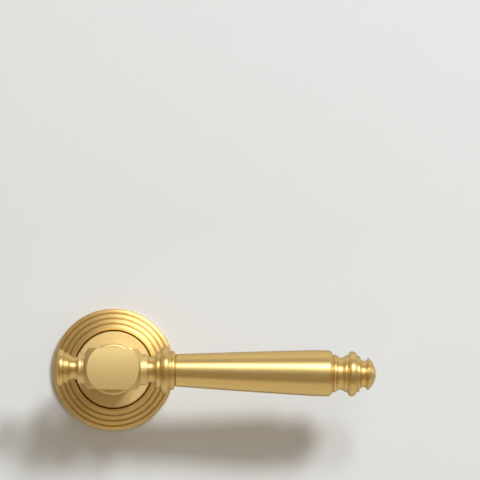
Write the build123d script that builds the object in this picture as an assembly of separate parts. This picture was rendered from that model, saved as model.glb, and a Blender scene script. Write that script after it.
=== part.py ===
from build123d import *
import math
import os

# Door lever handle on a reeded round rose, in millimetres.
# Every piece is drawn with the door face as the XY plane, the spindle axis on Z pointing out of the
# door, the lever along X and up along Y. At the end each piece is stood up, so that Z is up and the
# handle faces -Y. A station on a turned piece is (distance from its inner end, radius).

# Overall sizes
rose_diameter = 55.0
lever_reach = 116.4  # spindle axis to the tip
lever_standoff = 45.0  # door face to the lever's axis

# Clearances
running_fit = 0.05  # radial, shank in its bushes
slip_fit = 0.04  # each side, pieces put together by hand
end_play = 0.05  # along the spindle axis, between turning and fixed faces
swing_gap = 0.3  # turning piece to fixed wall
shadow_gap = 0.55  # dark line between the disc and the cover

# Mounting plate and its fixings
plate_thickness = 2.4
fixing_centres = 38.0
lug_radius = 4.0
lug_length = 6.0
bolt_radius = 2.0
bolt_shank_radius = 1.8
bolt_head_radius = 3.75
bolt_head_land = 0.2
bolt_tail = 40.0  # behind the door face
bolt_hole_clearance = 0.2
bolt_key_size = 2.5
bolt_key_depth = 1.3

# Rose cover
cover_headroom = 0.1  # cover to mounting plate
cover_crown = 0.8  # metal over the plate at the rim
rim_wall = 1.7
reed_widths = (2.1, 2.35, 2.35, 2.6)  # from the rim inwards, the last one round the bore
reed_dips = (0.25, 0.25, 0.25, 0.4)  # each reed's fall from its land to its inner edge
reed_rise = 0.65  # each land above the one outside it
reed_round = 0.45
reed_land = 0.5
bore_lip = 0.2

# Snap ring that the cover clicks over
snap_wire_radius = 0.45
snap_lip = 0.4  # plate in front of the groove
snap_groove_width = 1.1
snap_plate_groove = 0.8
snap_cover_groove = 0.3
snap_opening = 14.0  # degrees

# Centre disc
disc_thickness = 1.9
disc_bevel = 0.5

# Square spindle and the shank round it
spindle_size = 8.0
spindle_tail = 65.0  # behind the door face
spindle_depth = 27.0  # in front of the door face
spindle_chamfer = 0.6
shank_wall = 2.3  # outside the corners of the square
shank_end_land = 1.0
shank_chamfer = 0.4

# Bushes
bush_wall = 1.9
bush_length = 2.2
bush_flange_width = 0.95
bush_flange_thickness = 0.55

# Spring housing
shoulder_depth = 2.5  # behind the door face
drum_wall = 1.2
housing_flange_width = 1.5
housing_flange_thickness = 1.1
ear_radius = 3.3
ear_offset = 16.0
stop_lug_depth = 1.6
stop_lug_angle = 24.0
stop_lug_places = (90, 270)  # degrees round the drum
stop_clearance_angle = 1.0
lever_travel = 45.0  # degrees

# Housing screws
screw_radius = 1.25
screw_head_radius = 2.1
screw_head_land = 0.1
screw_sink = 0.05
screw_tip_gap = 0.15  # under the plate's front
screw_slot_width = 0.6
screw_slot_depth = 0.45

# Return spring
spring_wire_radius = 0.6
spring_coil_gap = 0.1  # between neighbouring turns
spring_turns = 2.2
spring_gap = 0.5  # each side of the coil
spring_end_gap = 0.2
spring_driver_angle = 200.0
spring_hole_clearance = 0.25

# Spring driver and its clip
driver_sleeve_wall = 0.9
driver_thickness = 1.6
shank_flat_depth = 1.2
clip_thickness = 1.0
clip_groove_depth = 0.8
clip_width = 2.0
clip_offset = 0.35
clip_opening = 46.0  # degrees
clip_angle = 20.0  # its ears swing clear of the stop lugs
clip_ear_radius = 1.35
clip_hole_radius = 0.7

# Lever head
neck_radius = 11.4
head_width = 24.6
head_height = 18.1
head_front = 11.0  # from the lever's axis
head_back = 10.5
head_round_radius = 14.1
head_face_radius = 11.45
head_face_crown = 0.35  # rise of the front face between its flats
head_edge_break = 0.7
boss_radius = 6.8
boss_length = 3.1
boss_edge = 0.25

# Grub screw under the neck
grub_radius = 2.5
grub_height = 17.0  # from the door face
grub_sink = 0.7
grub_key_size = 2.5
grub_key_depth = 2.5
grub_point = 0.6

# Studs that hold the turned pieces together
grip_stud_radius = 4.0
grip_stud_in_head = 10.5
grip_stud_in_grip = 18.0
tail_stud_radius = 3.0
tail_stud_in_head = 9.5
tail_stud_in_finial = 6.0
tip_stud_radius = 3.0
tip_stud_in_grip = 12.0
tip_stud_in_finial = 11.0
stud_end_chamfer = 0.6
stud_end_room = 0.5

# Tail finial
tail_shoulder_radius = 5.5
tail_throat = (1.5, 4.95)
tail_flare = (4.4, 6.65)
tail_bead = (4.95, 6.95)
tail_valley = (5.6, 6.75)
tail_end_bead = (7.75, 8.35)
tail_end_rim = (9.05, 7.0)
tail_length = 9.45

# Collar
collar_shoulder_radius = 6.2
collar_throat = (1.7, 5.7)
collar_fillet = (3.9, 8.2)
collar_fillet_length = 0.9
collar_bead = (7.8, 10.65)
collar_valley = (10.1, 8.25)
collar_small_bead = (11.1, 8.6)
collar_small_bead_end = (11.9, 7.5)
collar_end_radius = 6.8
collar_length = 12.15

# Grip
grip_start_radius = 7.2
grip_end_radius = 10.22
grip_belly = 0.08
grip_start_chamfer = 0.4
grip_shoulder = (13.0, 0.3)  # before the end chamfer, how far the taper eases off
grip_end_chamfer = (1.45, 1.75)  # along, across

# Tip finial
tip_start_radius = 7.9
tip_bead = (1.0, 8.35)
tip_bead_end = (1.75, 7.75)
tip_cove_throat = (3.1, 7.1)
tip_cove_end = (5.4, 8.1)
tip_fillet_length = 0.5
tip_ring = (8.4, 10.0)
tip_ring_end = (10.5, 8.45)
tip_quirk = (10.6, 7.95)
tip_small_bead = (11.3, 8.05)
tip_small_bead_end = (11.95, 7.35)
tip_neck_throat = (13.4, 5.85)
tip_neck_end = (15.3, 6.95)
tip_dome_rim = (15.55, 7.2)
tip_length = 19.1

# Hollow part of an ogee, as a share of its length
ogee_hollow = 0.36

# Sizes worked out from the values above
rose_radius = rose_diameter / 2
cover_underside = plate_thickness + cover_headroom
rim_height = cover_underside + cover_crown
plate_radius = rose_radius - rim_wall - slip_fit
snap_seat = plate_thickness - snap_lip - snap_groove_width / 2
screw_length = plate_thickness - screw_tip_gap
cover_wall_radius = rose_radius - rim_wall
cover_bore_radius = rose_radius - sum(reed_widths) - bore_lip
disc_radius = cover_bore_radius - shadow_gap
disc_back = plate_thickness + bush_flange_thickness + end_play
disc_face = disc_back + disc_thickness
socket_size = spindle_size + 2 * slip_fit
shank_radius = socket_size / math.sqrt(2) + shank_wall
bush_bore_radius = shank_radius + running_fit
bush_radius = bush_bore_radius + bush_wall
bush_flange_radius = bush_radius + bush_flange_width
housing_bore_radius = bush_radius + slip_fit
sleeve_bore_radius = shank_radius + slip_fit
sleeve_radius = sleeve_bore_radius + driver_sleeve_wall
spring_radius = sleeve_radius + spring_gap + spring_wire_radius
spring_pitch = 2 * spring_wire_radius + spring_coil_gap
chamber_radius = spring_radius + spring_wire_radius + spring_gap
drum_radius = chamber_radius + drum_wall
driver_radius = chamber_radius - swing_gap
stop_lug_radius = chamber_radius - stop_lug_depth
sleeve_front = -shoulder_depth - bush_flange_thickness - end_play
spring_front = sleeve_front - spring_end_gap - spring_wire_radius
spring_back = spring_front - spring_pitch * spring_turns
driver_front = spring_back - spring_wire_radius - spring_end_gap
driver_back = driver_front - driver_thickness
drum_back = driver_back - swing_gap
clip_front = driver_back - end_play
clip_back = clip_front - clip_thickness
clip_seat_radius = shank_radius - clip_groove_depth
shank_end = clip_back - end_play - shank_end_land
shank_flat = shank_radius - shank_flat_depth
head_face = lever_standoff + head_front
neck_end = lever_standoff - head_back
boss_face = head_width / 2 + boss_length
grip_start = boss_face + collar_length
grip_end = lever_reach - tip_length
grip_length = grip_end - grip_start

stand_up = Rot(90, 0, 0)
on_lever = Pos(0, 0, lever_standoff)
to_the_left = Rot(0, 0, 180)


def turned_on_spindle(*edges):
    """A solid turned about the spindle axis, from edges in (radius, height off the door)."""
    return revolve(Plane.XZ * make_face(edges), Axis.Z)


def turned_on_lever(*edges):
    """A solid turned about the lever's axis, from edges in (distance along, radius)."""
    return revolve(make_face(edges), Axis.X)


def tube(inner, outer, low, high):
    """A plain ring about the spindle axis between two heights."""
    return turned_on_spindle(Polyline((inner, low), (outer, low), (outer, high), (inner, high), close=True))


def rod(radius, start, end):
    """A plain rod along X."""
    return turned_on_lever(Polyline((start, 0), (start, radius), (end, radius), (end, 0), close=True))


def sector(inner, outer, start, end):
    """A sketch of a ring's segment between two angles in degrees."""
    inside = CenterArc((0, 0), inner, start, end - start)
    outside = CenterArc((0, 0), outer, start, end - start)
    return make_face([inside, outside, Line(inside @ 0, outside @ 0), Line(inside @ 1, outside @ 1)])


def slab(sketch, low, high):
    """A sketch drawn on the door face, extruded between two heights."""
    return extrude(Pos(0, 0, low) * sketch, high - low)


def hexagon(across_flats):
    """A hexagon key's outline."""
    return RegularPolygon(across_flats / 2, 6, major_radius=False)


def countersunk(head_radius, body_radius, top, land, end):
    """A countersunk screw's body about Z: flat head up, straight shank down to its end."""
    cone_top = top - land
    cone_end = cone_top - (head_radius - body_radius)
    return turned_on_spindle(
        Polyline(
            (0, top),
            (head_radius, top),
            (head_radius, cone_top),
            (body_radius, cone_end),
            (body_radius, end),
            (0, end),
            close=True,
        )
    )


def make_rose_cover():
    """Reeded ring: stepped reeds, each a round edge, a flat land and a crown that falls to the next."""
    edges = []
    wall_foot = (rose_radius, 0)
    land_height = rim_height
    for width, dip in zip(reed_widths, reed_dips):
        wall_top = (wall_foot[0], land_height - reed_round)
        land_start = (wall_foot[0] - reed_round, land_height)
        land_end = (land_start[0] - reed_land, land_height)
        next_foot = (wall_foot[0] - width, land_height - dip)
        edges.append(Line(wall_foot, wall_top))
        edges.append(TangentArc(wall_top, land_start, tangent=(0, 1)))
        edges.append(Line(land_start, land_end))
        edges.append(TangentArc(land_end, next_foot, tangent=(-1, 0)))
        wall_foot = next_foot
        land_height += reed_rise
    groove_radius = cover_wall_radius + snap_cover_groove
    groove_top = snap_seat + snap_groove_width / 2
    groove_bottom = snap_seat - snap_groove_width / 2
    edges.append(
        Polyline(
            wall_foot,
            (cover_bore_radius, wall_foot[1] - bore_lip),
            (cover_bore_radius, cover_underside),
            (cover_wall_radius, cover_underside),
            (cover_wall_radius, groove_top),
            (groove_radius, groove_top),
            (groove_radius, groove_bottom),
            (cover_wall_radius, groove_bottom),
            (cover_wall_radius, 0),
            (rose_radius, 0),
        )
    )
    return turned_on_spindle(*edges)


def flange_outline(margin):
    """The housing's flange: a round body with an ear above and below, grown by a margin."""
    body = Circle(drum_radius + housing_flange_width + margin)
    ear = Circle(ear_radius + margin)
    return make_hull((body + Pos(0, ear_offset) * ear + Pos(0, -ear_offset) * ear).edges())


def at_fixings(shape):
    """A shape repeated at the two fixing bolts."""
    return [Pos(side * fixing_centres / 2, 0, 0) * shape for side in (-1, 1)]


def at_ears(shape):
    """A shape repeated at the housing flange's two ears."""
    return [Pos(0, side * ear_offset, 0) * shape for side in (-1, 1)]


def make_mounting_plate():
    """Die-cast plate: snap ring groove, recess for the housing's flange, and two bolt lugs behind."""
    groove = tube(
        plate_radius - snap_plate_groove,
        rose_radius,
        snap_seat - snap_groove_width / 2,
        snap_seat + snap_groove_width / 2,
    )
    plate = Pos(0, 0, plate_thickness / 2) * Cylinder(plate_radius, plate_thickness)
    plate -= groove
    plate -= slab(Circle(drum_radius + slip_fit), 0, plate_thickness)
    plate -= slab(flange_outline(slip_fit), 0, housing_flange_thickness)
    plate += at_fixings(tube(bolt_shank_radius, lug_radius, -lug_length, 0))
    bolt_room = countersunk(
        bolt_head_radius + bolt_hole_clearance,
        bolt_radius + bolt_hole_clearance,
        plate_thickness,
        bolt_head_land,
        -lug_length,
    )
    plate -= at_fixings(bolt_room)
    plate -= at_ears(slab(Circle(screw_radius + slip_fit), 0, plate_thickness))
    return plate


def make_fixing_bolts():
    """Two countersunk bolts with a hexagon key, the plain shank thinner than the thread."""
    head_top = plate_thickness - cover_headroom
    bolt = countersunk(bolt_head_radius, bolt_shank_radius, head_top, bolt_head_land, -lug_length)
    thread = turned_on_spindle(
        Polyline(
            (0, -lug_length),
            (bolt_radius, -lug_length),
            (bolt_radius, -bolt_tail + stud_end_chamfer),
            (bolt_radius - stud_end_chamfer, -bolt_tail),
            (0, -bolt_tail),
            close=True,
        )
    )
    bolt += thread
    bolt -= slab(hexagon(bolt_key_size), head_top - bolt_key_depth, head_top)
    return at_fixings(bolt)


def make_snap_ring():
    """Sprung wire ring, open at the bottom, half in the plate's groove and half in the cover's."""
    ring_radius = plate_radius - (snap_plate_groove - snap_cover_groove) / 2
    section = Plane.XZ * Pos(ring_radius, snap_seat) * Circle(snap_wire_radius)
    ring = revolve(section, Axis.Z, revolution_arc=360 - snap_opening)
    return Rot(0, 0, -90 + snap_opening / 2) * ring


def make_centre_disc():
    """Flat disc on the shank, clamped under the neck, with a bevelled edge."""
    return turned_on_spindle(
        Polyline(
            (sleeve_bore_radius, disc_back),
            (disc_radius, disc_back),
            (disc_radius, disc_face - disc_bevel),
            (disc_radius - disc_bevel, disc_face),
            (sleeve_bore_radius, disc_face),
            close=True,
        )
    )


def make_bush():
    """Flanged bush with its flange's seat on the door face plane, flange up."""
    return turned_on_spindle(
        Polyline(
            (bush_bore_radius, -bush_length),
            (bush_radius, -bush_length),
            (bush_radius, 0),
            (bush_flange_radius, 0),
            (bush_flange_radius, bush_flange_thickness),
            (bush_bore_radius, bush_flange_thickness),
            close=True,
        )
    )


def make_spring_housing():
    """Die-cast drum: bores for the bushes, spring chamber with two stop lugs, and an eared flange."""
    drum = turned_on_spindle(
        Polyline(
            (housing_bore_radius, plate_thickness),
            (drum_radius, plate_thickness),
            (drum_radius, drum_back),
            (chamber_radius, drum_back),
            (chamber_radius, -shoulder_depth),
            (housing_bore_radius, -shoulder_depth),
            close=True,
        )
    )
    flange = slab(flange_outline(0), 0, housing_flange_thickness)
    flange -= slab(Circle(chamber_radius), 0, housing_flange_thickness)
    housing = drum + flange
    for middle in stop_lug_places:
        first = middle - stop_lug_angle / 2
        last = middle + stop_lug_angle / 2
        lug = sector(stop_lug_radius, chamber_radius + drum_wall / 2, first, last)
        housing += slab(lug, drum_back, driver_front)
    head_room = countersunk(
        screw_head_radius + slip_fit,
        screw_radius + slip_fit,
        0,
        screw_sink + screw_head_land,
        -plate_thickness,
    )
    housing -= at_ears(Rot(180, 0, 0) * head_room)
    anchor = rod(spring_wire_radius + spring_hole_clearance, spring_radius, drum_radius + drum_wall)
    housing -= Pos(0, 0, spring_front) * Rot(0, 0, spring_anchor_angle()) * anchor
    return housing


def make_housing_screws():
    """Two slotted countersunk screws, driven from behind through the flange's ears into the plate."""
    screw = countersunk(screw_head_radius, screw_radius, -screw_sink, screw_head_land, -screw_length)
    slot = Box(3 * screw_head_radius, screw_slot_width, 2 * screw_slot_depth)
    screw -= Pos(0, 0, -screw_sink) * slot
    return at_ears(Rot(180, 0, 0) * screw)


def spring_anchor_angle():
    """Where the coil's front end lies, one coil's turns on from the driver's notch."""
    return (spring_driver_angle + 360 * spring_turns) % 360


def make_return_spring():
    """Torsion spring: the back leg points into the driver's notch, the front leg out through the drum."""
    path = Helix(spring_pitch, spring_pitch * spring_turns, spring_radius)
    start = Plane(origin=path @ 0, z_dir=path % 0)
    wire = start * Rot(0, 0, 90) * Circle(spring_wire_radius)  # seam turned away from the legs
    coil = sweep(wire, path=path, is_frenet=True)
    coil = Pos(0, 0, spring_back) * Rot(0, 0, spring_driver_angle) * coil
    bend = Pos(spring_radius, 0, 0) * Sphere(spring_wire_radius)
    back_leg = Pos(spring_radius, 0, 0) * slab(Circle(spring_wire_radius), driver_back - spring_back, 0)
    front_leg = rod(spring_wire_radius, spring_radius, drum_radius)
    coil += Pos(0, 0, spring_back) * Rot(0, 0, spring_driver_angle) * (bend + back_leg)
    coil += Pos(0, 0, spring_front) * Rot(0, 0, spring_anchor_angle()) * (bend + front_leg)
    return coil


def make_spring_driver():
    """Flanged sleeve: flats on the shank turn it, two slots meet the stop lugs, a notch takes the spring."""
    plate = Circle(driver_radius) - shank_section(slip_fit)
    slot_inner = stop_lug_radius - swing_gap
    for middle in stop_lug_places:
        first = middle - stop_lug_angle / 2 - stop_clearance_angle
        last = middle + stop_lug_angle / 2 + lever_travel + stop_clearance_angle
        plate -= sector(slot_inner, chamber_radius, first, last)
    notch_radius = spring_wire_radius + spring_hole_clearance
    notch = Pos(spring_radius, 0) * Circle(notch_radius)
    notch += Pos(spring_radius + notch_radius, 0) * Rectangle(2 * notch_radius, 2 * notch_radius)
    plate -= Rot(0, 0, spring_driver_angle) * notch
    sleeve = tube(sleeve_bore_radius, sleeve_radius, driver_front, sleeve_front)
    return sleeve + slab(plate, driver_back, driver_front)


def shank_section(margin):
    """The shank's end with its two flats, grown by a margin."""
    across = 2 * (shank_flat + margin)
    return Circle(shank_radius + margin) & Rectangle(4 * shank_radius, across)


def make_retaining_clip():
    """External circlip: wider opposite its opening, with a plier hole in each ear."""
    seat = clip_seat_radius + slip_fit
    ear_centre = seat + clip_ear_radius
    ring = Pos(-clip_offset, 0) * Circle(seat + clip_width - clip_offset)
    ring -= sector(seat / 2, 2 * seat, -clip_opening / 2, clip_opening / 2)
    for side in (-1, 1):
        ear = Rot(0, 0, side * clip_opening / 2) * Pos(ear_centre, 0)
        ring += ear * Circle(clip_ear_radius)
        ring -= ear * Circle(clip_hole_radius)
    return Rot(0, 0, clip_angle) * slab(ring - Circle(seat), clip_back, clip_front)


def make_spindle():
    """Square bar from inside the lever head to behind the door, with its ends chamfered."""
    bar = slab(Rectangle(spindle_size, spindle_size), -spindle_tail, spindle_depth)
    ends = bar.faces().sort_by(Axis.Z)
    return chamfer([*ends[0].edges(), *ends[-1].edges()], spindle_chamfer)


def make_lever_head():
    """Shank, neck and block in one piece: turned first, then milled flat on four sides."""
    clip_groove_front = clip_front + end_play
    clip_groove_back = clip_back - end_play
    shank = turned_on_spindle(
        Polyline(
            (0, shank_end),
            (shank_radius - shank_chamfer, shank_end),
            (shank_radius, shank_end + shank_chamfer),
            (shank_radius, clip_groove_back),
            (clip_seat_radius, clip_groove_back),
            (clip_seat_radius, clip_groove_front),
            (shank_radius, clip_groove_front),
            (shank_radius, disc_face),
            (neck_radius, disc_face),
            (neck_radius, neck_end),
            (0, neck_end),
            close=True,
        )
    )
    flats = slab(Circle(2 * shank_radius), shank_end, driver_front)
    flats -= slab(Rectangle(4 * shank_radius, 2 * shank_flat), shank_end, driver_front)
    block = turned_on_spindle(
        Polyline(
            (0, neck_end),
            (neck_radius, neck_end),
            (head_round_radius, neck_end + head_round_radius - neck_radius),
            (head_round_radius, head_face - head_round_radius + head_face_radius),
            (head_face_radius, head_face),
            (0, head_face),
            close=True,
        )
    )
    block &= slab(Rectangle(head_width, head_height), neck_end, head_face)
    crown_radius = ((head_height / 2) ** 2 + head_face_crown ** 2) / (2 * head_face_crown)
    crown = Pos(0, 0, head_face - crown_radius) * Rot(0, 90, 0) * Cylinder(crown_radius, 2 * head_width)
    block &= crown
    block = fillet(block.faces().sort_by(Axis.Z)[-1].edges(), head_edge_break)
    boss = turned_on_lever(
        Polyline(
            (0, 0),
            (0, boss_radius),
            (boss_face - boss_edge, boss_radius),
            (boss_face, boss_radius - boss_edge),
            (boss_face, 0),
            close=True,
        )
    )
    head = shank - flats + block + on_lever * boss + on_lever * to_the_left * boss
    head -= slab(Rectangle(socket_size, socket_size), shank_end, spindle_depth + stud_end_room)
    head -= on_lever * stud_hole(grip_stud_radius, boss_face - grip_stud_in_head, boss_face)
    head -= on_lever * to_the_left * stud_hole(tail_stud_radius, boss_face - tail_stud_in_head, boss_face)
    grub_hole = rod(grub_radius + slip_fit, 0, neck_radius)
    return head - Pos(0, 0, grub_height) * Rot(0, 0, -90) * grub_hole


def make_grub_screw():
    """Set screw with a hexagon key, its point on the underside of the spindle."""
    start = spindle_size / 2
    end = neck_radius - grub_sink
    screw = turned_on_lever(
        Polyline(
            (start, 0),
            (start, grub_radius - grub_point),
            (start + grub_point, grub_radius),
            (end, grub_radius),
            (end, 0),
            close=True,
        )
    )
    key = extrude(Plane.YZ * hexagon(grub_key_size), grub_key_depth)
    screw -= Pos(end - grub_key_depth, 0, 0) * key
    return Pos(0, 0, grub_height) * Rot(0, 0, -90) * screw


def stud(radius, start, end):
    """A stud along X with chamfered ends."""
    small = radius - stud_end_chamfer
    return turned_on_lever(
        Polyline(
            (start, 0),
            (start, small),
            (start + stud_end_chamfer, radius),
            (end - stud_end_chamfer, radius),
            (end, small),
            (end, 0),
            close=True,
        )
    )


def stud_hole(radius, start, end):
    """The hole for a stud, a little longer than the stud at both ends."""
    return rod(radius + slip_fit, start - stud_end_room, end + stud_end_room)


def ogee(foot, crest):
    """Two arcs, hollow from the foot and round over the crest, level at both ends."""
    turn = (
        foot[0] + ogee_hollow * (crest[0] - foot[0]),
        foot[1] + ogee_hollow * (crest[1] - foot[1]),
    )
    way = math.copysign(1, crest[0] - foot[0])
    return TangentArc(foot, turn, tangent=(way, 0)), TangentArc(crest, turn, tangent=(-way, 0))


def make_tail_finial():
    """Finial on the short side: throat, small bead, and a large end bead with a flat dome."""
    finial = turned_on_lever(
        Line((0, 0), (0, tail_shoulder_radius)),
        ThreePointArc((0, tail_shoulder_radius), tail_throat, tail_flare),
        ThreePointArc(tail_flare, tail_bead, tail_valley),
        *ogee(tail_valley, tail_end_bead),
        TangentArc(tail_end_bead, tail_end_rim, tangent=(1, 0)),
        TangentArc((tail_length, 0), tail_end_rim, tangent=(0, 1)),
        Line((tail_length, 0), (0, 0)),
    )
    return finial - stud_hole(tail_stud_radius, 0, tail_stud_in_finial)


def make_collar():
    """Collar between block and grip: throat, fillet, large bead with an ogee each side, small bead."""
    fillet_end = (collar_fillet[0] + collar_fillet_length, collar_fillet[1])
    collar = turned_on_lever(
        Line((0, 0), (0, collar_shoulder_radius)),
        ThreePointArc((0, collar_shoulder_radius), collar_throat, collar_fillet),
        Line(collar_fillet, fillet_end),
        *ogee(fillet_end, collar_bead),
        *ogee(collar_valley, collar_bead),
        ThreePointArc(collar_valley, collar_small_bead, collar_small_bead_end),
        Polyline(collar_small_bead_end, (collar_length, collar_end_radius), (collar_length, 0), (0, 0)),
    )
    return collar - stud_hole(grip_stud_radius, 0, collar_length)


def make_grip():
    """Tapered grip: a fine chamfer at its start, then a shoulder and a broad chamfer at its end."""
    start = (grip_start_chamfer, grip_start_radius)
    end = (grip_length - grip_end_chamfer[0], grip_end_radius)
    shoulder = (end[0] - grip_shoulder[0], end[1] - grip_shoulder[1])
    middle = ((start[0] + shoulder[0]) / 2, (start[1] + shoulder[1]) / 2 + grip_belly)
    end_face_radius = grip_end_radius - grip_end_chamfer[1]
    taper = ThreePointArc(start, middle, shoulder)
    grip = turned_on_lever(
        Polyline((0, 0), (0, grip_start_radius - grip_start_chamfer), start),
        taper,
        TangentArc(shoulder, end, tangent=taper % 1),
        Polyline(end, (grip_length, end_face_radius), (grip_length, 0), (0, 0)),
    )
    grip -= stud_hole(grip_stud_radius, 0, grip_stud_in_grip)
    return grip - stud_hole(tip_stud_radius, grip_length - tip_stud_in_grip, grip_length)


def make_tip_finial():
    """Finial at the lever's end: bead, cove, ring rising in an ogee, small bead, neck and a dome."""
    fillet_end = (tip_cove_end[0] + tip_fillet_length, tip_cove_end[1])
    finial = turned_on_lever(
        Line((0, 0), (0, tip_start_radius)),
        ThreePointArc((0, tip_start_radius), tip_bead, tip_bead_end),
        ThreePointArc(tip_bead_end, tip_cove_throat, tip_cove_end),
        Line(tip_cove_end, fillet_end),
        *ogee(fillet_end, tip_ring),
        TangentArc(tip_ring, tip_ring_end, tangent=(1, 0)),
        Line(tip_ring_end, tip_quirk),
        ThreePointArc(tip_quirk, tip_small_bead, tip_small_bead_end),
        ThreePointArc(tip_small_bead_end, tip_neck_throat, tip_neck_end),
        Line(tip_neck_end, tip_dome_rim),
        TangentArc((tip_length, 0), tip_dome_rim, tangent=(0, 1)),
        Line((tip_length, 0), (0, 0)),
    )
    return finial - stud_hole(tip_stud_radius, 0, tip_stud_in_finial)


bush = make_bush()
head_stud_start = boss_face - grip_stud_in_head
tail_stud_start = boss_face - tail_stud_in_head

pieces = {
    "mounting_plate": make_mounting_plate(),
    "spring_housing": make_spring_housing(),
    "housing_screws": make_housing_screws(),
    "front_bush": Pos(0, 0, plate_thickness) * bush,
    "rear_bush": Pos(0, 0, -shoulder_depth) * Rot(180, 0, 0) * bush,
    "return_spring": make_return_spring(),
    "fixing_bolts": make_fixing_bolts(),
    "cover_snap_ring": make_snap_ring(),
    "rose_cover": make_rose_cover(),
    "lever_head": make_lever_head(),
    "centre_disc": make_centre_disc(),
    "spring_driver": make_spring_driver(),
    "retaining_clip": make_retaining_clip(),
    "spindle": make_spindle(),
    "grub_screw": make_grub_screw(),
    "tail_stud": on_lever * to_the_left * stud(
        tail_stud_radius, tail_stud_start, boss_face + tail_stud_in_finial
    ),
    "tail_finial": on_lever * to_the_left * Pos(boss_face, 0, 0) * make_tail_finial(),
    "grip_stud": on_lever * stud(grip_stud_radius, head_stud_start, grip_start + grip_stud_in_grip),
    "collar": on_lever * Pos(boss_face, 0, 0) * make_collar(),
    "grip": on_lever * Pos(grip_start, 0, 0) * make_grip(),
    "tip_stud": on_lever * stud(tip_stud_radius, grip_end - tip_stud_in_grip, grip_end + tip_stud_in_finial),
    "tip_finial": on_lever * Pos(grip_end, 0, 0) * make_tip_finial(),
}

os.makedirs("parts", exist_ok=True)
for name, piece in pieces.items():
    solids = piece if isinstance(piece, list) else [piece]
    group = Compound([solid for shape in solids for solid in (stand_up * shape).solids()])
    export_step(group, f"parts/{name}.step")
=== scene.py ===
import math

import bmesh
import bpy
from mathutils import Matrix, Vector


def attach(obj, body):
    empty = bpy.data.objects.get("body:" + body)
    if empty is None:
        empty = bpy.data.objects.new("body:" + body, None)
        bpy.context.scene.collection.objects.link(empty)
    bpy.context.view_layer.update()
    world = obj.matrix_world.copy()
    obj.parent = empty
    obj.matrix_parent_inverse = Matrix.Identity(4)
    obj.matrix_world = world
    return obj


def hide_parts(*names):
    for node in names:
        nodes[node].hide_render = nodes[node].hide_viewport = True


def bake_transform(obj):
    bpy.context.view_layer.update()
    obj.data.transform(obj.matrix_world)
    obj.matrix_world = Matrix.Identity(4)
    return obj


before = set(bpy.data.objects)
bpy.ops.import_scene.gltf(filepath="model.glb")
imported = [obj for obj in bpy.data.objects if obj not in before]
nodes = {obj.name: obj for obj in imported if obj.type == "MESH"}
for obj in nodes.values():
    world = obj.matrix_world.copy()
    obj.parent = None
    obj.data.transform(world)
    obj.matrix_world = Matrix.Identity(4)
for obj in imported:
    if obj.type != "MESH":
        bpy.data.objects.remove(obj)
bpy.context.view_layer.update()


# Door
# The handle is bolted to a flat door, sprayed with a warm pale satin paint. The panel is the backdrop:
# it is see-through from behind, so that the back of the handle shows there. A pale floor lies below.

def new_finish(name):
    """A material with its node tree and its main shader."""
    finish = bpy.data.materials.new(name)
    finish.use_nodes = True
    return finish, finish.node_tree, finish.node_tree.nodes["Principled BSDF"]


def feed(tree, node, sockets):
    """Sets a node's sockets to values, or links them to other sockets."""
    for key, value in sockets.items():
        if isinstance(value, bpy.types.NodeSocket):
            tree.links.new(node.inputs[key], value)
        else:
            node.inputs[key].default_value = value


def add(tree, kind, sockets, **settings):
    """A node with its settings and its sockets."""
    node = tree.nodes.new(kind)
    for key, value in settings.items():
        setattr(node, key, value)
    feed(tree, node, sockets)
    return node


def object_place(tree):
    """The place on the piece, in metres."""
    return add(tree, "ShaderNodeTexCoord", {}).outputs["Object"]


def noise(tree, place, scale, detail, **more):
    """Soft random change over the surface."""
    sockets = {"Vector": place, "Scale": scale, "Detail": detail, **more}
    return add(tree, "ShaderNodeTexNoise", sockets).outputs["Fac"]


def mix_colours(tree, share, first, second, **settings):
    """A colour between two others."""
    mix = add(tree, "ShaderNodeMix", {0: share, 6: first, 7: second}, data_type="RGBA", **settings)
    return mix.outputs[2]


def relief(tree, height, strength, distance):
    """Fine relief in the surface."""
    bump = add(tree, "ShaderNodeBump", {"Height": height, "Strength": strength, "Distance": distance})
    return bump.outputs["Normal"]


def stage_panel(name, panel, turn, place, finish):
    """A flat panel that belongs to the set."""
    bmesh.ops.transform(panel, matrix=Matrix.Translation(place) @ turn, verts=panel.verts)
    mesh = bpy.data.meshes.new(name)
    panel.to_mesh(mesh)
    panel.free()
    mesh.materials.append(finish)
    backdrop = bpy.data.objects.new(name, mesh)
    bpy.context.scene.collection.objects.link(backdrop)


door_paint, tree, surface = new_finish("door_paint")
place = object_place(tree)
peel = noise(tree, place, 700.0, 2.0)
cloud = noise(tree, place, 3.0, 2.0)
feed(tree, surface, {
    "Base Color": mix_colours(tree, cloud, (0.765, 0.755, 0.735, 1), (0.785, 0.780, 0.770, 1)),
    "Roughness": 0.55,
    "Specular IOR Level": 0.25,
    "Normal": relief(tree, peel, 0.05, 0.0002),
})
clear = add(tree, "ShaderNodeBsdfTransparent", {})
behind = add(tree, "ShaderNodeNewGeometry", {}).outputs["Backfacing"]
one_sided = add(tree, "ShaderNodeMixShader", {0: behind, 1: surface.outputs[0], 2: clear.outputs[0]})
tree.links.new(tree.nodes["Material Output"].inputs["Surface"], one_sided.outputs[0])

floor_paint, tree, surface = new_finish("floor_paint")
speckle = noise(tree, object_place(tree), 12.0, 4.0)
feed(tree, surface, {
    "Base Color": mix_colours(tree, speckle, (0.81, 0.73, 0.63, 1), (0.87, 0.79, 0.69, 1)),
    "Roughness": 0.6,
})

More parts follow.
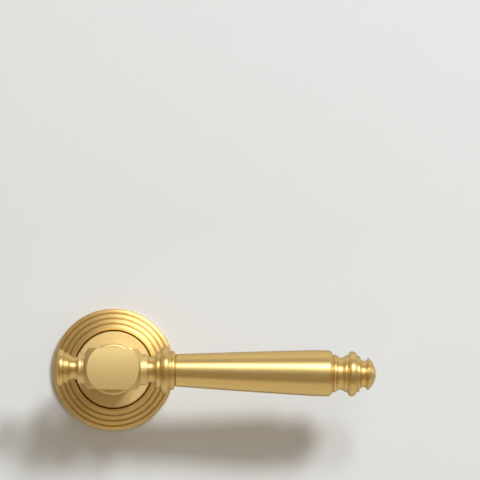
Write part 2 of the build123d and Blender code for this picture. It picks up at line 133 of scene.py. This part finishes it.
door_hole = 0.027  # radius, hidden by the rose: light from behind reaches the mounting plate through it
door_reach = 1.35
behind_rose = 0.0001
door = bmesh.new()
for radius in (door_hole, door_reach):
    bmesh.ops.create_circle(door, segments=96, radius=radius)
bmesh.ops.bridge_loops(door, edges=door.edges)
for leaf in door.faces:
    leaf.normal_update()
    if leaf.normal.z < 0:
        leaf.normal_flip()
upright = Matrix.Rotation(math.radians(90), 4, "X")
stage_panel("door", door, upright, (0, behind_rose, 0), door_paint)

floor_reach, floor_depth = 1.2, 0.62  # half its width, and its depth as a share of its width
floor_place = (0, -0.15, -1.0)
floor = bmesh.new()
bmesh.ops.create_grid(floor, x_segments=8, y_segments=8, size=floor_reach)
stage_panel("floor", floor, Matrix.Diagonal((1.0, floor_depth, 1.0, 1.0)), floor_place, floor_paint)


# Mounting plate, spring housing and spring driver
# Die-cast zinc, dull grey as it comes from the mould, its front painted black as shade so that the gap
# round the centre disc reads dark. The plate sits on the door, the housing's drum goes through the door
# behind it, and the driver turns inside the drum.

sharp_from = math.radians(40)


def settle(name, shape, finish, slot, body, *stood_for):
    """Makes a finished shape a piece that stands for CAD nodes and rides on a body, if one is named."""
    bmesh.ops.recalc_face_normals(shape, faces=shape.faces)
    for face in shape.faces:
        face.smooth = True
    for edge in shape.edges:
        edge.smooth = edge.calc_face_angle(0) < sharp_from
    mesh = bpy.data.meshes.new(name)
    shape.to_mesh(mesh)
    shape.free()
    mesh.materials.append(finish)
    piece = bpy.data.objects.new(name, mesh)
    bpy.context.scene.collection.objects.link(piece)
    shading = piece.modifiers.new("even_shading", "WEIGHTED_NORMAL")
    shading.keep_sharp = True
    if body:
        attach(piece, body)
    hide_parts(*stood_for)
    return piece


def smooth_copy(node, finish, slot, body):
    """A CAD node's shape with its triangles joined, so that its round faces shade evenly."""
    shape = bmesh.new()
    shape.from_mesh(nodes[node].data)
    bmesh.ops.remove_doubles(shape, verts=shape.verts, dist=1e-6)
    return settle("made_" + node, shape, finish, slot, body, node)


def maths(tree, operation, *values):
    """One step of arithmetic on values that change over the surface."""
    return add(tree, "ShaderNodeMath", dict(enumerate(values)), operation=operation).outputs[0]


def spread(tree, share, low, high):
    """Spreads a share between two values."""
    sockets = {"Value": share, "To Min": low, "To Max": high}
    return add(tree, "ShaderNodeMapRange", sockets).outputs["Result"]


painted_shade_before = -0.0022  # along Y, just behind the plate's front: in front of this the zinc is painted black as shade
painted_gap_shade = (0.030, 0.020, 0.012, 1)
die_cast_zinc, tree, surface = new_finish("die_cast_zinc")
place = object_place(tree)
mottle = noise(tree, place, 260.0, 5.0, Roughness=0.65)
flow = noise(tree, place, 70.0, 2.0, Distortion=1.5)
depth = add(tree, "ShaderNodeSeparateXYZ", {"Vector": place}).outputs["Y"]
front = maths(tree, "LESS_THAN", depth, painted_shade_before)
tone = mix_colours(tree, mottle, (0.34, 0.35, 0.36, 1), (0.55, 0.56, 0.57, 1))
feed(tree, surface, {
    # Painted shade: the front of the zinc is coloured black, so that the gap in front of it reads dark.
    "Base Color": mix_colours(tree, front, tone, painted_gap_shade),
    "Roughness": spread(tree, flow, 0.42, 0.62),
    "Metallic": 1.0,
    "Normal": relief(tree, mottle, 0.25, 0.0001),
})

smooth_copy("mounting_plate", die_cast_zinc, "die_cast_zinc", "rose")
smooth_copy("spring_housing", die_cast_zinc, "die_cast_zinc", "rose")
smooth_copy("spring_driver", die_cast_zinc, "die_cast_zinc", "lever")


# Bushes
# Two flanged acetal bushes, moulded in off-white. One is pushed into each end of the housing's bore,
# and the shank turns in them.

acetal, tree, surface = new_finish("acetal")
place = object_place(tree)
grain = noise(tree, place, 1800.0, 2.0)
cloud = noise(tree, place, 120.0, 2.0)
feed(tree, surface, {
    "Base Color": mix_colours(tree, cloud, (0.78, 0.76, 0.70, 1), (0.84, 0.83, 0.79, 1)),
    "Roughness": 0.42,
    "Normal": relief(tree, grain, 0.1, 0.00003),
})

smooth_copy("front_bush", acetal, "acetal", "rose")
smooth_copy("rear_bush", acetal, "acetal", "rose")


# Return spring, retaining clip and snap ring
# Blue-black spring steel, oiled. The coil lies in the drum with one leg held by it and the other wound up
# by the driver, the clip holds the shank, and the wire ring lies in the groove round the mounting plate.

spring_steel, tree, surface = new_finish("spring_steel")
place = object_place(tree)
scale_marks = noise(tree, place, 900.0, 3.0)
oil = noise(tree, place, 140.0, 2.0)
feed(tree, surface, {
    "Base Color": mix_colours(tree, oil, (0.085, 0.088, 0.10, 1), (0.20, 0.20, 0.21, 1)),
    "Roughness": spread(tree, oil, 0.22, 0.45),
    "Metallic": 1.0,
    "Normal": relief(tree, scale_marks, 0.1, 0.00003),
})

spring = smooth_copy("return_spring", spring_steel, "spring_steel", None)
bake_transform(spring)
smooth_copy("cover_snap_ring", spring_steel, "spring_steel", "rose")
smooth_copy("retaining_clip", spring_steel, "spring_steel", "lever")


# Bolts, screws, studs and spindle
# Bright zinc-plated steel. The fixing bolts have a countersunk head, a plain shank and a rolled thread,
# and go through the lock. The square spindle is cold drawn, so it is streaked.

mm = 0.001
out_of_door = Vector((0, -1, 0))
to_the_right = Vector((1, 0, 0))
upward = Vector((0, 0, 1))
arc_step = 7  # degrees
corner_from = math.radians(14)


def ruler(origin, along, out):
    """Finds the place of a station in millimetres: (distance along the axis, radius)."""
    return lambda station: origin + (along * station[0] + out * station[1]) * mm


def arc_centre(a, b, c):
    """The middle of the circle through three points."""
    ab, ac = b - a, c - a
    normal = ab.cross(ac)
    spread_out = normal.cross(ab) * ac.length_squared + ac.cross(normal) * ab.length_squared
    return a + spread_out / (2 * normal.length_squared)


def round_cut(shape, tip, through, end):
    """Draws the profile on along an arc, in short steps, and returns its new tip."""
    start = tip.co.copy()
    middle = arc_centre(start, through, end)
    normal = (through - start).cross(end - start).normalized()
    first, last = start - middle, end - middle
    angle = math.atan2(normal.dot(first.cross(last)), first.dot(last)) % math.tau
    steps = max(4, math.ceil(math.degrees(angle) / arc_step))
    made = bmesh.ops.spin(shape, geom=[tip], cent=middle, axis=normal, angle=angle, steps=steps)
    tip = made["geom_last"][0]
    tip.co = end
    return tip


def straight_cut(shape, tip, end):
    """Draws the profile on along a straight line and returns its new tip."""
    tip = bmesh.ops.extrude_vert_indiv(shape, verts=[tip])["verts"][0]
    tip.co = end
    return tip


def turning(vert):
    """How sharply the profile turns at a point."""
    if len(vert.link_edges) != 2:
        return 0
    ways = [edge.other_vert(vert).co - vert.co for edge in vert.link_edges]
    return math.pi - ways[0].angle(ways[1], math.pi)


def lathe(stations, origin, along, out, ease, steps):
    """A turned shape from stations. A station is reached by a straight cut, and a pair of stations is a
    round cut through the first to the second. Corners are eased by a size in millimetres."""
    shape = bmesh.new()
    spot = ruler(origin, along, out)
    tip = shape.verts.new(spot(stations[0]))
    for cut in stations[1:]:
        if isinstance(cut[0], tuple):
            tip = round_cut(shape, tip, spot(cut[0]), spot(cut[1]))
        else:
            tip = straight_cut(shape, tip, spot(cut))
    bmesh.ops.remove_doubles(shape, verts=shape.verts, dist=1e-7)
    corners = [vert for vert in shape.verts if turning(vert) > corner_from]
    bmesh.ops.bevel(shape, geom=corners, offset=ease * mm, offset_type="OFFSET", segments=3, profile=0.5,
                    affect="VERTICES", material=-1, clamp_overlap=True)
    bmesh.ops.spin(shape, geom=shape.verts[:] + shape.edges[:], cent=origin, axis=along, angle=math.tau,
                   steps=steps, use_merge=True)
    bmesh.ops.remove_doubles(shape, verts=shape.verts, dist=1e-7)
    bmesh.ops.recalc_face_normals(shape, faces=shape.faces)
    return shape


def slice_at(shape, place, normal, clear_outer):
    """Cuts a shape along a plane, with or without what is beyond it, and returns the cut's edges."""
    everything = shape.verts[:] + shape.edges[:] + shape.faces[:]
    made = bmesh.ops.bisect_plane(shape, geom=everything, dist=1e-7, plane_co=place, plane_no=normal,
                                  clear_outer=clear_outer)
    return [item for item in made["geom_cut"] if isinstance(item, bmesh.types.BMEdge)]


def trim(shape, place, normal):
    """Cuts a shape off flat at a plane and closes it there."""
    bmesh.ops.holes_fill(shape, edges=slice_at(shape, place, normal, True))


def thread(radius, pitch, start, end, origin, along, out):
    """A rolled thread along an axis, between two distances in millimetres, cut off flat at both ends."""
    steps = 28
    depth = 0.61 * pitch
    turns = math.ceil((end - start) / pitch) + 2
    low = start - pitch
    shape = bmesh.new()
    spot = ruler(origin, along, out)
    tip = shape.verts.new(spot((low, radius)))
    for share, cut in ((0.12, 0), (0.44, depth), (0.68, depth), (1.0, 0)):
        tip = straight_cut(shape, tip, spot((low + share * pitch, radius - cut)))
    bmesh.ops.spin(shape, geom=shape.verts[:] + shape.edges[:], cent=origin, axis=along,
                   dvec=along * pitch * mm / steps, angle=math.tau * turns, steps=steps * turns)
    bmesh.ops.remove_doubles(shape, verts=shape.verts, dist=1e-6)
    trim(shape, spot((start, 0)), -along)
    trim(shape, spot((end, 0)), along)
    return shape


def gather(shape, *others):
    """Adds other shapes to a shape."""
    for other in others:
        spare = bpy.data.meshes.new("spare")
        other.to_mesh(spare)
        other.free()
        shape.from_mesh(spare)
        bpy.data.meshes.remove(spare)


plated_steel, tree, surface = new_finish("plated_steel")
place = object_place(tree)
drawn = add(tree, "ShaderNodeMapping", {"Vector": place, "Scale": (1.0, 0.02, 1.0)}).outputs[0]
streak = noise(tree, drawn, 1500.0, 3.0)
bloom = noise(tree, place, 160.0, 4.0)
feed(tree, surface, {
    "Base Color": mix_colours(tree, bloom, (0.50, 0.49, 0.46, 1), (0.66, 0.67, 0.68, 1)),
    "Roughness": spread(tree, streak, 0.24, 0.46),
    "Metallic": 1.0,
    "Normal": relief(tree, streak, 0.08, 0.00003),
})

bolt_offset = 19  # from the spindle's axis
bolt_radius, pitch = 2.0, 0.7
plain_end, bolt_end = 6.0, 40.0  # behind the door's face
bolt_profile = [(2.3, 0), (2.3, 3.75), (2.1, 3.75), (0.15, 1.8), (-plain_end, 1.8), (-plain_end, 0)]
bolts = bmesh.new()
for side in (-1, 1):
    bolt_axis = Vector((side * bolt_offset * mm, 0, 0))
    plain = lathe(bolt_profile, bolt_axis, out_of_door, to_the_right, 0.08, 48)
    rolled = thread(bolt_radius, pitch, plain_end, bolt_end, bolt_axis, -out_of_door, to_the_right)
    gather(bolts, plain, rolled)
settle("made_fixing_bolts", bolts, plated_steel, "plated_steel", "rose", "fixing_bolts")

smooth_copy("housing_screws", plated_steel, "plated_steel", "rose")
for node in ("spindle", "grub_screw", "tail_stud", "grip_stud", "tip_stud"):
    smooth_copy(node, plated_steel, "plated_steel", "lever")


# Rose cover
# A ring turned from brass bar and satin brushed: reeds that step up from the rim, with a narrow groove
# before each step, whose colour is darkened as painted shade. It clicks over the snap ring on the mounting
# plate.

brass_group = bpy.data.node_groups.new("satin_brass", "ShaderNodeTree")
for socket in ("Across", "Along", "Dullness", "Paleness"):
    brass_group.interface.new_socket(socket, in_out="INPUT", socket_type="NodeSocketFloat")
brass_group.interface.new_socket("Place", in_out="INPUT", socket_type="NodeSocketVector")
brass_group.interface.new_socket("Color", in_out="OUTPUT", socket_type="NodeSocketColor")
for socket in ("Roughness", "Height"):
    brass_group.interface.new_socket(socket, in_out="OUTPUT", socket_type="NodeSocketFloat")
given = add(brass_group, "NodeGroupInput", {}).outputs
across = maths(brass_group, "MULTIPLY", given["Across"], 5200.0)
along = maths(brass_group, "MULTIPLY", given["Along"], 160.0)
lines = add(brass_group, "ShaderNodeCombineXYZ", {"X": across, "Y": along}).outputs[0]
marks = noise(brass_group, lines, 1.0, 3.0, Roughness=0.6)
grain = noise(brass_group, given["Place"], 4200.0, 1.0)
patina = noise(brass_group, given["Place"], 55.0, 3.0)
tone = mix_colours(brass_group, patina, (0.82, 0.53, 0.14, 1), (0.89, 0.61, 0.19, 1))
pale = mix_colours(brass_group, given["Paleness"], tone, (0.88, 0.71, 0.38, 1))
shade = spread(brass_group, marks, 0.90, 1.06)
add(brass_group, "NodeGroupOutput", {
    "Color": mix_colours(brass_group, 1.0, pale, shade, blend_type="MULTIPLY"),
    "Roughness": maths(brass_group, "MULTIPLY_ADD", marks, 0.10, given["Dullness"]),
    "Height": maths(brass_group, "ADD", marks, grain),
})


def measure(tree, place):
    """Ways to measure a place: along each axis, out from the spindle's axis, and round it."""
    x, y, z = add(tree, "ShaderNodeSeparateXYZ", {"Vector": place}).outputs
    flat = add(tree, "ShaderNodeCombineXYZ", {"X": x, "Y": z}).outputs[0]
    out = add(tree, "ShaderNodeVectorMath", {0: flat}, operation="LENGTH").outputs["Value"]
    turn = maths(tree, "ARCTAN2", z, x)
    return {"x": x, "y": y, "z": z, "out": out, "round": maths(tree, "MULTIPLY", turn, 0.02)}


def brass_finish(name, across, along, axis, dullness, stretch, paleness):
    """Satin brass that is brushed round an axis: across and along name how the marks are measured, and
    its sheen is dulled and stretched across the marks."""
    finish, tree, surface = new_finish(name)
    place = object_place(tree)
    ways = measure(tree, place)
    brushed = add(tree, "ShaderNodeGroup", {}, node_tree=brass_group)
    feed(tree, brushed, {
        "Across": ways[across],
        "Along": ways[along],
        "Place": place,
        "Dullness": dullness,
        "Paleness": paleness,
    })
    round_axis = add(tree, "ShaderNodeTangent", {}, direction_type="RADIAL", axis=axis)
    feed(tree, surface, {
        "Base Color": brushed.outputs["Color"],
        "Roughness": brushed.outputs["Roughness"],
        "Metallic": 1.0,
        "Specular Tint": (0.48, 0.44, 0.37, 1),
        "Anisotropic": stretch,
        "Anisotropic Rotation": 0.25,
        "Coat Weight": 0.6,
        "Coat Roughness": 0.4,
        "Normal": relief(tree, brushed.outputs["Height"], 0.10, 0.00002),
        "Tangent": round_axis.outputs[0],
    })
    return finish


rim, bore, inside = 27.5, 17.9, 25.8  # radii
cover_profile = [(0, rim), (2.55, rim)]
for land, edge, groove in ((3.3, 27.05, 25.4), (3.95, 24.95, 23.05), (4.6, 22.6, 20.7)):
    cover_profile += [(land - 0.13, edge), (land, groove + 0.5), (land - 0.4, groove)]
cover_profile += [
    (5.12, 20.25), (5.25, 18.9), (5.1, 18.1), (4.9, bore), (2.5, bore), (2.5, inside), (2.0, inside),
    (2.0, 26.1), (0.9, 26.1), (0.9, inside), (0, inside), (0, rim),
]
cover = lathe(cover_profile, Vector(), out_of_door, to_the_right, 0.09, 192)

groove_shade_share, full_shade_reach, no_shade_reach = 0.38, 0.1 * mm, 0.7 * mm  # painted shade in the grooves: its share, and how far from a groove it goes
rose_brass = brass_finish("rose_brass", "out", "round", "Y", 0.36, 0.68, 0.28)
tree = rose_brass.node_tree
surface = tree.nodes["Principled BSDF"]
out = measure(tree, object_place(tree))["out"]
gaps = []
for groove in (25.6, 23.25, 20.9):
    gaps.append(maths(tree, "ABSOLUTE", maths(tree, "SUBTRACT", out, groove * mm)))
nearest = maths(tree, "MINIMUM", gaps[2], maths(tree, "MINIMUM", gaps[1], gaps[0]))
# Painted shade: the brass colour is darkened towards each groove, standing for the shade in the grooves.
painted_groove_shade = add(tree, "ShaderNodeMapRange", {
    "Value": nearest, "From Min": full_shade_reach, "From Max": no_shade_reach, "To Min": groove_shade_share, "To Max": 0.0,
}, interpolation_type="SMOOTHSTEP").outputs["Result"]
unshaded_brass = surface.inputs["Base Color"].links[0].from_socket
feed(tree, surface, {"Base Color": mix_colours(tree, painted_groove_shade, unshaded_brass, (0.36, 0.21, 0.06, 1))})
settle("made_rose_cover", cover, rose_brass, "satin_brass", "rose", "rose_cover")


# Centre disc
# A flat brass disc on the shank, clamped under the neck so that it turns with the lever. It is brushed
# in circles, which makes its sheen open like a fan.

disc_back, disc_front = 3.0, 4.9  # in front of the door's face
disc_profile = [
    (disc_back, 8.05), (disc_back, 17.35), (4.4, 17.35), (disc_front, 16.85), (disc_front, 8.05),
    (disc_back, 8.05),
]
disc = lathe(disc_profile, Vector(), out_of_door, to_the_right, 0.08, 160)
disc_brass = brass_finish("disc_brass", "out", "round", "Y", 0.56, 0.2, 0.6)
settle("made_centre_disc", disc, disc_brass, "satin_brass", "lever", "centre_disc")


# Lever head
# Neck, block and shank are one brass forging: turned, then milled flat on four sides of the block, with
# a short boss on each side. A grub screw from below and the square socket hold it on the spindle.

def scratch_object(shape):
    """An object that is only used to cut or join."""
    mesh = bpy.data.meshes.new("scratch")
    shape.to_mesh(mesh)
    shape.free()
    made = bpy.data.objects.new("scratch", mesh)
    bpy.context.scene.collection.objects.link(made)
    return made


def combine(shape, other, operation):
    """Joins another shape to a shape, or cuts it away, and returns the result."""
    body, tool = scratch_object(shape), scratch_object(other)
    step = body.modifiers.new("combine", "BOOLEAN")
    step.operation = operation
    step.solver = "EXACT"
    step.object = tool
    bpy.context.view_layer.update()
    made = bpy.data.meshes.new_from_object(body.evaluated_get(bpy.context.evaluated_depsgraph_get()))
    result = bmesh.new()
    result.from_mesh(made)
    for spare in (body, tool):
        mesh = spare.data
        bpy.data.objects.remove(spare)
        bpy.data.meshes.remove(mesh)
    bpy.data.meshes.remove(made)
    return result


lever_axis = Vector((0, -45 * mm, 0))
block_back, block_front = 34.5, 56.0  # in front of the door's face
neck_radius, block_radius, face_radius = 11.4, 14.1, 11.45
head_flats, head_sides = 9.05, 12.3  # half the block's height and width
face_crown, face_bands = 0.35, 8
arris = 1.4

block_profile = [
    (block_back, 0), (block_back, neck_radius), (37.2, block_radius), (53.35, block_radius),
    (block_front, face_radius), (block_front, 0),
]
block = lathe(block_profile, Vector(), out_of_door, to_the_right, 0, 144)
for normal, half in ((to_the_right, head_sides), (upward, head_flats)):
    trim(block, normal * half * mm, normal)
    trim(block, -normal * half * mm, -normal)
bmesh.ops.dissolve_limit(block, angle_limit=math.radians(0.5), verts=block.verts, edges=block.edges)
for band in range(1 - face_bands, face_bands):
    slice_at(block, upward * band * head_flats / face_bands * mm, upward, False)
for vert in block.verts:
    if abs(vert.co.y + block_front * mm) < 1e-6:
        vert.co.y += face_crown * mm * (vert.co.z / (head_flats * mm)) ** 2
arris_edges = [edge for edge in block.edges if edge.calc_face_angle(0) > math.radians(20)
               and not all(abs(vert.co.y + block_back * mm) < 1e-6 for vert in edge.verts)]
bmesh.ops.bevel(block, geom=arris_edges, offset=arris * mm, offset_type="WIDTH", segments=5, profile=0.5,
                affect="EDGES", material=-1, clamp_overlap=True)

shank_radius, shank_flats, clip_groove = 8.01, 6.81, 7.21
flats_start, shank_end = -7.56, -11.26
shank_profile = [
    (shank_end, 0), (shank_end, 7.61), (-10.86, shank_radius), (-10.26, shank_radius),
    (-10.26, clip_groove), (-9.16, clip_groove), (-9.16, shank_radius), (flats_start, shank_radius),
    (flats_start, 0),
]
shank_tail = lathe(shank_profile, Vector(), out_of_door, to_the_right, 0.05, 128)
for normal in (upward, -upward):
    trim(shank_tail, normal * shank_flats * mm, normal)
neck_profile = [
    (flats_start, 0), (flats_start, shank_radius), (disc_front, shank_radius), (disc_front, neck_radius),
    (33.5, neck_radius), ((34.21, 11.11), (block_back, 10.4)), (block_back, 0),
]
neck = lathe(neck_profile, Vector(), out_of_door, to_the_right, 0.12, 128)
boss_end = 15.4
boss = [(10.0, 0), (10.0, 6.8), (15.15, 6.8), (boss_end, 6.55), (boss_end, 0)]
head = combine(neck, block, "UNION")
head = combine(head, shank_tail, "UNION")
for way in (to_the_right, -to_the_right):
    head = combine(head, lathe(boss, lever_axis, way, upward, 0.08, 96), "UNION")

socket_size = Matrix.Diagonal((8.08 * mm, 38.8 * mm, 8.08 * mm, 1))
socket = bmesh.new()
bmesh.ops.create_cube(socket, size=1.0, matrix=Matrix.Translation((0, -8.1 * mm, 0)) @ socket_size)
head = combine(head, socket, "DIFFERENCE")
grub_axis = Vector((0, -17 * mm, 0))
grub_profile = [(4.0, 0), (4.0, 2.54), (12.5, 2.54), (12.5, 0)]
head = combine(head, lathe(grub_profile, grub_axis, -upward, to_the_right, 0, 64), "DIFFERENCE")
wide_hole, narrow_hole = 4.04, 3.04  # for the grip's stud and for the other two
for way, hole_end, hole in ((to_the_right, 4.4, wide_hole), (-to_the_right, 5.4, narrow_hole)):
    hole_profile = [(hole_end, 0), (hole_end, hole), (17.0, hole), (17.0, 0)]
    head = combine(head, lathe(hole_profile, lever_axis, way, upward, 0, 64), "DIFFERENCE")
head_brass = brass_finish("head_brass", "x", "z", "X", 0.44, 0.3, 0.42)
settle("made_lever_head", head, head_brass, "satin_brass", "lever", "lever_head")


# Tail finial, collar, grip and tip finial
# Turned brass, brushed round while it is still in the lathe. The finials, the collar and the grip are held
# on studs, and the grip has a slight belly and a broad chamfer at its end.

def level_arc(level, other):
    """The middle of the arc that leaves one station level and ends at another."""
    run, rise = other[0] - level[0], other[1] - level[1]
    half_turn = math.atan2(abs(rise), abs(run))
    radius = (run ** 2 + rise ** 2) / (2 * abs(rise))
    return (level[0] + math.copysign(radius * math.sin(half_turn), run),
            level[1] + math.copysign(radius * (1 - math.cos(half_turn)), rise))


def ogee(start, end, share):
    """Two round cuts, level at both ends, that swap from hollow to round or back at a share of the way."""
    turn = (start[0] + share * (end[0] - start[0]), start[1] + share * (end[1] - start[1]))
    return [(level_arc(start, turn), turn), (level_arc(end, turn), end)]


turned_brass = brass_finish("turned_brass", "x", "y", "X", 0.40, 0.75, 0.25)
hollow = 0.36  # share of an ogee that is hollow
collar_end, grip_end = 27.55, 97.3

tail_profile = [
    (21.9, 0), (21.9, narrow_hole), (boss_end, narrow_hole), (boss_end, 5.5), ((16.9, 4.95), (19.8, 6.65)),
    ((20.35, 6.95), (21.0, 6.75)), *ogee((21.0, 6.75), (23.15, 8.35), hollow),
    (level_arc((23.15, 8.35), (24.45, 7.0)), (24.45, 7.0)), ((24.75, 3.5), (24.85, 0)),
]
settle("made_tail_finial", lathe(tail_profile, lever_axis, -to_the_right, upward, 0.08, 112),
       turned_brass, "satin_brass", "lever", "tail_finial")

collar_profile = [
    (boss_end, wide_hole), (boss_end, 6.2), ((17.1, 5.7), (19.3, 8.2)), (20.2, 8.2),
    *ogee((20.2, 8.2), (23.2, 10.65), hollow), *ogee((23.2, 10.65), (25.5, 8.25), 1 - hollow),
    ((26.5, 8.6), (27.3, 7.5)), (collar_end, 6.8), (collar_end, wide_hole), (boss_end, wide_hole),
]
settle("made_collar", lathe(collar_profile, lever_axis, to_the_right, upward, 0.08, 128),
       turned_brass, "satin_brass", "lever", "collar")

grip_profile = [
    (46.05, 0), (46.05, wide_hole), (collar_end, wide_hole), (collar_end, 6.8), (27.95, 7.2),
    ((55.4, 8.64), (82.85, 9.92)), ((89.4, 10.15), (95.85, 10.22)), (grip_end, 8.47),
    (grip_end, narrow_hole), (84.8, narrow_hole), (84.8, 0),
]
settle("made_grip", lathe(grip_profile, lever_axis, to_the_right, upward, 0.10, 128),
       turned_brass, "satin_brass", "lever", "grip")

tip_profile = [
    (108.8, 0), (108.8, narrow_hole), (grip_end, narrow_hole), (grip_end, 7.9),
    ((98.3, 8.35), (99.05, 7.75)), ((100.4, 7.1), (102.7, 8.1)), (103.2, 8.1),
    *ogee((103.2, 8.1), (105.7, 10.0), hollow), (level_arc((105.7, 10.0), (107.8, 8.45)), (107.8, 8.45)),
    (107.9, 7.95), ((108.6, 8.05), (109.25, 7.35)), ((110.7, 5.85), (112.6, 6.95)), (112.85, 7.2),
    ((115.3, 4.2), (116.4, 0)),
]
settle("made_tip_finial", lathe(tip_profile, lever_axis, to_the_right, upward, 0.08, 128),
       turned_brass, "satin_brass", "lever", "tip_finial")


# Light and camera
# Two small softboxes, high in front of the door, light the brass and cast its shadow. Dimmer boxes all
# round and a dull warm room fill in. The camera looks from the front, a long way off, and is tilted a little.

handle = Vector((0.03, -0.03, 0.0))


def lamp(name, way, distance, size, radiance, colour):
    """A round softbox at a distance from the handle, facing it. Its radiance is 1 where white paper is."""
    light = bpy.data.lights.new(name, "AREA")
    light.shape = "DISK"
    light.size = size
    light.energy = radiance * math.pi ** 2 * (size / 2) ** 2
    light.color = colour
    box = bpy.data.objects.new(name, light)
    box.location = handle + Vector(way).normalized() * distance
    box.rotation_euler = Vector(way).to_track_quat("Z", "Y").to_euler()
    box.visible_camera = False
    bpy.context.scene.collection.objects.link(box)


lamp("key", (0.43, -0.735, 0.52), 2.6, 0.50, 67.0, (0.88, 0.935, 1.0))
lamp("glint_box", (0.16, -0.80, 0.58), 2.2, 0.38, 32.0, (0.86, 0.93, 1.0))
lamp("front_box", (0.15, -0.94, 0.31), 1.8, 0.62, 2.6, (0.86, 0.93, 1.0))
lamp("upper_box", (0.0, -0.60, 0.80), 1.8, 0.60, 0.8, (0.88, 0.94, 1.0))
lamp("camera_box", (0.28, -0.96, -0.02), 2.3, 1.10, 0.65, (0.97, 0.98, 1.0))
lamp("low_box", (0.0, -0.88, -0.45), 2.0, 0.80, 0.6, (1.0, 0.86, 0.66))
lamp("ceiling_box", (0.0, -0.02, 1.0), 1.2, 0.9, 0.75, (1.0, 0.96, 0.90))
lamp("back_box", (-0.8, 1.2, 0.9), 1.7, 0.9, 3.6, (1.0, 1.0, 1.0))
lamp("back_side_box", (0.9, 1.1, 0.3), 1.7, 0.9, 1.6, (1.0, 0.97, 0.93))

world = bpy.data.worlds.new("room")
bpy.context.scene.world = world
world.use_nodes = True
room = world.node_tree.nodes["Background"]
room.inputs["Color"].default_value = (1.0, 0.84, 0.60, 1)
room.inputs["Strength"].default_value = 0.20

view_centre = Vector((0.0559, 0, 0.0598))
camera_place = Vector((0.0163, -2.0, -0.0107))
camera_roll = math.radians(1.17)
photo_width = 0.2174  # metres of door across the frame
film_width = 36.0
forward = (view_centre - camera_place).normalized()
level = forward.cross(upward).normalized()
square = level.cross(forward)
right = level * math.cos(camera_roll) + square * math.sin(camera_roll)
up = square * math.cos(camera_roll) - level * math.sin(camera_roll)
camera_data = bpy.data.cameras.new("camera")
camera_data.sensor_width = film_width
camera_data.lens = film_width * (view_centre - camera_place).length / photo_width
camera_data.clip_start = 0.05
camera_data.clip_end = 30.0
camera = bpy.data.objects.new("camera", camera_data)
camera.matrix_world = Matrix.Translation(camera_place) @ Matrix((right, up, -forward)).transposed().to_4x4()
bpy.context.scene.collection.objects.link(camera)
bpy.context.scene.camera = camera
bpy.context.scene.view_settings.view_transform = "Standard"
